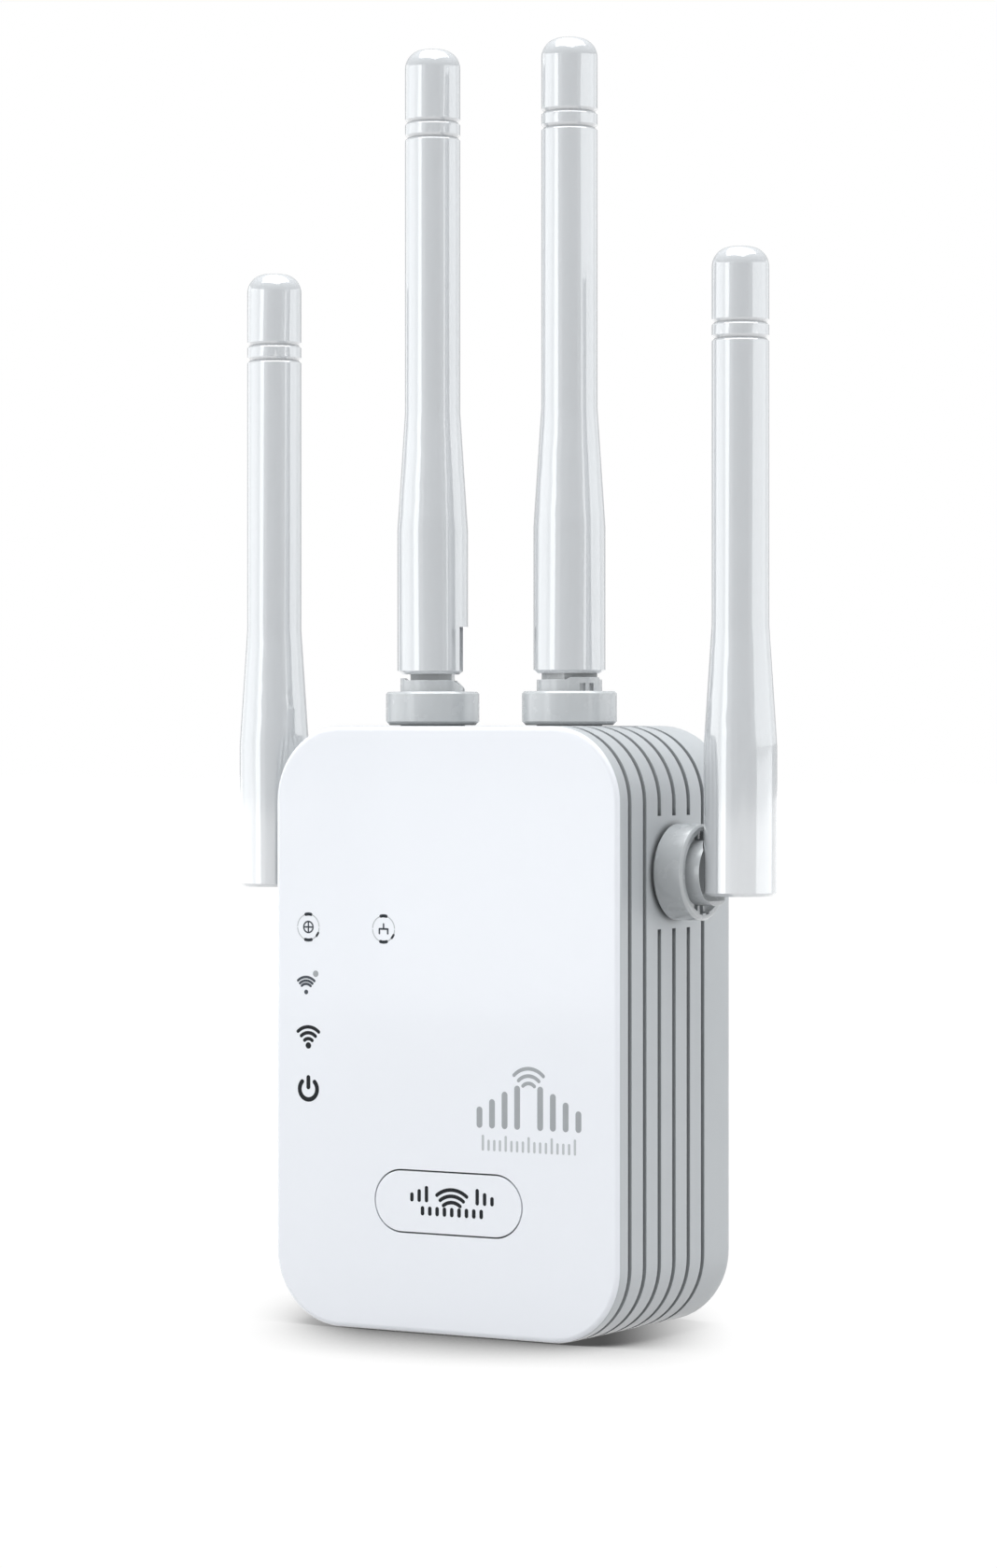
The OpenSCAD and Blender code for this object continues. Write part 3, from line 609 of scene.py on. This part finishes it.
def make_camera():
    """A level camera at the height of the case's top, turned to the object's right."""
    data = bpy.data.cameras.new("camera")
    data.sensor_width = 36
    data.lens = CAMERA_LENS
    data.shift_x, data.shift_y = CAMERA_SHIFT
    data.clip_start = 0.01
    camera = bpy.data.objects.new("camera", data)
    bpy.context.scene.collection.objects.link(camera)
    away = Vector((math.sin(CAMERA_TURN), -math.cos(CAMERA_TURN), 0))
    camera.location = away * CAMERA_FAR + Vector((0, 0, CASE_H))
    camera.rotation_euler = (math.radians(90), 0, CAMERA_TURN)
    bpy.context.scene.camera = camera


# Slightly cool daylight
COOL = (0.962, 0.985, 1.0)


def area_light(name, radiance, azimuth, distance, z, width, height, tilt):
    """A soft box that faces the object. Azimuth 0 is in front, 90 on the object's right."""
    data = bpy.data.lights.new(name, "AREA")
    data.shape = "RECTANGLE"
    data.size = width
    data.size_y = height
    # Cycles divides an area light's power by four times its area
    data.energy = radiance * 4 * width * height
    data.color = COOL
    light = bpy.data.objects.new(name, data)
    bpy.context.scene.collection.objects.link(light)
    turn = math.radians(azimuth)
    light.location = (distance * math.sin(turn), -distance * math.cos(turn), z)
    light.rotation_euler = (math.radians(90 + tilt), 0, turn)
    light.visible_camera = False


FLOOR_HALF = 6.0
# The floor lies this much lower than the object's underside
FLOOR_GAP = 0.05 * MM
# The floor's painted shadow, seen only by the camera: its reach from the object, its half width
# across the camera's view, the width that fades out on each side, and how far its middle lies to
# the left
SHADOW_REACH = 38 * MM
SHADOW_HALF = 41 * MM
SHADOW_FADE = 24 * MM
SHADOW_SHIFT = 3 * MM
# How much of the sky is open where the shadow is deepest and where it ends
SHADOW_OPEN = (0.42, 0.95)
# Brightness of the floor to the camera, in the deepest shadow and in the open
FLOOR_DEEPEST = 0.08
FLOOR_SEEN = 1.03
# Its brightness where the object's gloss mirrors it, and its colour to all other light
FLOOR_IN_GLOSS = 1.3
FLOOR_GREY = 0.45


def make_floor():
    """A wide white floor that darkens only close to the object, as a painted shadow seen by the
    camera.
    """
    mesh = bpy.data.meshes.new("floor")
    bm = bmesh.new()
    bmesh.ops.create_grid(bm, x_segments=1, y_segments=1, size=FLOOR_HALF)
    bm.to_mesh(mesh)
    bm.free()
    floor = bpy.data.objects.new("floor", mesh)
    floor.location = (0, 0, -FLOOR_GAP)
    bpy.context.scene.collection.objects.link(floor)
    material = bpy.data.materials.new("pale_floor")
    material.use_nodes = True
    n = Nodes(material)
    # Painted shadow: the floor's glow to the camera dims where ambient occlusion finds the object
    # near
    open_share = n.add(
        "ShaderNodeAmbientOcclusion", {"Distance": SHADOW_REACH}, samples=16
    ).outputs["AO"]
    level = n.add(
        "ShaderNodeMapRange",
        {
            "Value": open_share,
            "From Min": SHADOW_OPEN[0],
            "From Max": SHADOW_OPEN[1],
            "To Min": FLOOR_DEEPEST,
            "To Max": FLOOR_SEEN,
        },
    ).outputs["Result"]
    place = n.add("ShaderNodeNewGeometry").outputs["Position"]
    turn = (math.cos(CAMERA_TURN), math.sin(CAMERA_TURN), 0)
    aside = n.add("ShaderNodeVectorMath", {0: place, 1: turn}, operation="DOT_PRODUCT")
    offset = n.add("ShaderNodeMath", {0: aside.outputs["Value"], 1: SHADOW_SHIFT}, operation="ADD")
    away = n.add("ShaderNodeMath", {0: offset.outputs[0]}, operation="ABSOLUTE")
    clear = n.add(
        "ShaderNodeMapRange",
        {"Value": away.outputs[0], "From Min": SHADOW_HALF - SHADOW_FADE, "From Max": SHADOW_HALF},
        interpolation_type="SMOOTHSTEP",
    ).outputs["Result"]
    ends = {0: clear, 2: level, 3: FLOOR_SEEN}
    plain = n.add("ShaderNodeMix", ends, data_type="FLOAT").outputs[0]
    shown = n.add("ShaderNodeEmission", {"Strength": plain}).outputs[0]
    grey = (FLOOR_GREY, FLOOR_GREY, FLOOR_GREY, 1)
    dim = n.add("ShaderNodeBsdfDiffuse", {"Color": grey}).outputs[0]
    bright = n.add("ShaderNodeEmission", {"Strength": FLOOR_IN_GLOSS}).outputs[0]
    path = n.add("ShaderNodeLightPath").outputs
    unseen = n.add("ShaderNodeMixShader", {0: path["Is Glossy Ray"], 1: dim, 2: bright}).outputs[0]
    both = n.add("ShaderNodeMixShader", {0: path["Is Camera Ray"], 1: unseen, 2: shown}).outputs[0]
    n.add("ShaderNodeOutputMaterial", {"Surface": both})
    mesh.materials.append(material)


def make_world(ambient):
    """White to the camera, a soft even grey to the object."""
    world = bpy.data.worlds.new("studio")
    bpy.context.scene.world = world
    world.use_nodes = True
    n = Nodes(world)
    seen = n.add("ShaderNodeLightPath").outputs["Is Camera Ray"]
    color = n.mix(seen, rgba(COOL, ambient), (1, 1, 1, 1))
    back = n.add("ShaderNodeBackground", {"Color": color, "Strength": 1.0})
    out = n.add("ShaderNodeOutputWorld")
    n.tree.links.new(back.outputs[0], out.inputs["Surface"])


# The world's radiance, as the object sees it
AMBIENT = 0.6
# Soft boxes: radiance, azimuth, distance, height of the centre, width, height, tilt. A row of them
# stands on each side, as one wide box that is uneven across its width.
LIGHTS = {
    "left_c": (0.3, -8.0, 0.80, 0.20, 0.22, 0.40, 0),
    "left_a": (1.4, -24.2, 0.80, 0.20, 0.235, 0.40, 0),
    "left_b": (0.78, -40.8, 0.80, 0.20, 0.235, 0.40, 0),
    "left_far": (0.95, -65.5, 0.80, 0.20, 0.48, 0.40, 0),
    "left_rim": (0.6, -98.5, 0.80, 0.20, 0.48, 0.40, 0),
    "right_inner": (0.12, 70.0, 0.80, 0.24, 0.22, 0.29, 0),
    "right_near": (0.8, 94.5, 0.80, 0.24, 0.48, 0.29, 0),
    "right_far": (0.75, 127.5, 0.80, 0.24, 0.48, 0.29, 0),
    "right_rim": (0.4, 160.5, 0.80, 0.24, 0.48, 0.29, 0),
    "right_low": (0.8, 111, 0.80, 0.03, 0.96, 0.12, 0),
    "top": (2.9, 0, 0.0, 0.95, 1.0, 1.0, -90),
    "fill": (0.05, 10, 0.9, 0.25, 0.35, 0.60, 0),
}


def make_stage():
    make_camera()
    make_world(AMBIENT)
    make_floor()
    for name, spec in LIGHTS.items():
        area_light(name + "_softbox", *spec)
    view = bpy.context.scene.view_settings
    view.view_transform = "Standard"


looks = make_materials()
dress_nodes(looks)
print_badges(looks)
print_icons(looks)
print_emblem(looks)
print_button(looks)
make_stage()
